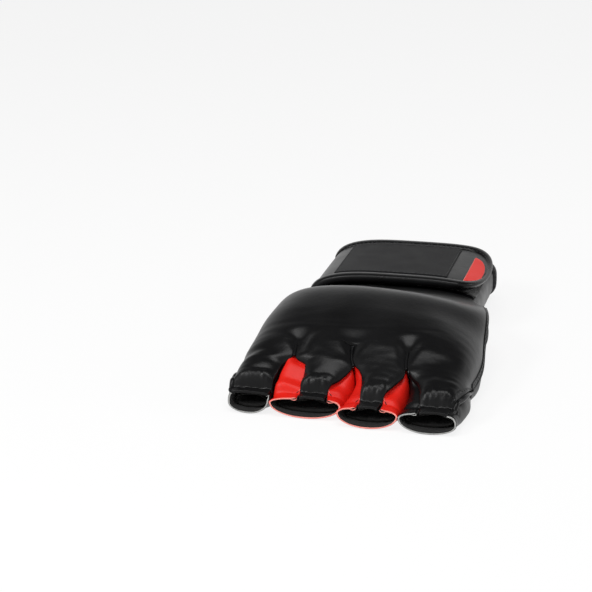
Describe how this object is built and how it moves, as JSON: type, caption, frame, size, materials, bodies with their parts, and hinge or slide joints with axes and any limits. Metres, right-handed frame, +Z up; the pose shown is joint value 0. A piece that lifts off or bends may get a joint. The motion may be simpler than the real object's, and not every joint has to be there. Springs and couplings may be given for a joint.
{
  "type": "grappling glove",
  "caption": "Padded open-palm grappling glove with flexing finger stalls, a thumb opening, a tubular cuff and a wide wrist strap that peels and swings open.",
  "frame": {"origin": "on the table under the middle of the glove's overall box, the glove lying palm down", "axes": "+Z up out of the back of the hand, -Y towards the finger mouths, +Y towards the wrist opening, +X towards the thumb"},
  "size_m": [0.13, 0.221, 0.0489],
  "materials": {
    "leather_black": "semi-gloss black leather",
    "leather_red": "semi-gloss bright red leather",
    "lining": "dark fleece lining",
    "foam": "closed-cell foam",
    "binding": "matt black edge binding",
    "patch": "plain black woven patch",
    "hook_loop": "black hook-and-loop tape"
  },
  "bodies": {
    "shell": {"back_cover": "leather_black", "knuckle_foam": "foam", "back_foam": "foam", "back_lining": "lining", "side_band_little": "leather_black", "side_band_thumb": "leather_black", "thumb_panel": "leather_black", "wrist_panel": "leather_red", "palm_bar": "leather_black", "palm_bar_lining": "lining", "palm_heel": "leather_black", "palm_heel_lining": "lining", "thumb_sleeve": "leather_black", "thumb_lining": "lining", "cuff": "leather_black", "cuff_binding": "binding", "loop_pad": "hook_loop"},
    "strap": {"strap_panel": "leather_black", "strap_binding_front": "binding", "strap_binding_rear": "binding", "strap_patch": "patch", "strap_hook_pad": "hook_loop"},
    "strap_end": {"strap_tip": "leather_black", "strap_tip_binding": "binding", "strap_accent": "leather_red", "tip_hook_pad": "hook_loop"},
    "little_stall": {"little_cover": "leather_black", "little_sleeve": "leather_black", "little_foam": "foam", "little_lining": "lining"},
    "ring_stall": {"ring_cover": "leather_black", "ring_sleeve": "leather_red", "ring_foam": "foam", "ring_lining": "lining"},
    "middle_stall": {"middle_cover": "leather_black", "middle_sleeve": "leather_red", "middle_foam": "foam", "middle_lining": "lining"},
    "index_stall": {"index_cover": "leather_black", "index_sleeve": "leather_black", "index_foam": "foam", "index_lining": "lining"}
  },
  "joints": [
    {"name": "little_flex", "type": "hinge", "parent": "shell", "child": "little_stall", "pos_m": [-0.04689, -0.0735, 0.01], "axis": [1, 0, 0], "range_deg": [0, 40], "stiffness_Nm_per_rad": 0.35},
    {"name": "ring_flex", "type": "hinge", "parent": "shell", "child": "ring_stall", "pos_m": [-0.01719, -0.0735, 0.01], "axis": [1, 0, 0], "range_deg": [0, 40], "stiffness_Nm_per_rad": 0.35},
    {"name": "middle_flex", "type": "hinge", "parent": "shell", "child": "middle_stall", "pos_m": [0.01301, -0.0735, 0.01], "axis": [1, 0, 0], "range_deg": [0, 40], "stiffness_Nm_per_rad": 0.35},
    {"name": "index_flex", "type": "hinge", "parent": "shell", "child": "index_stall", "pos_m": [0.04441, -0.0735, 0.01], "axis": [1, 0, 0], "range_deg": [0, 40], "stiffness_Nm_per_rad": 0.35},
    {"name": "strap_open", "type": "hinge", "parent": "shell", "child": "strap", "pos_m": [-0.05119, 0.07, 0.0215], "axis": [0, -1, 0], "range_deg": [0, 110]},
    {"name": "strap_end_peel", "type": "hinge", "parent": "strap", "child": "strap_end", "pos_m": [0.03141, 0.07, 0.0368], "axis": [0, -1, 0], "range_deg": [0, 60]}
  ]
}
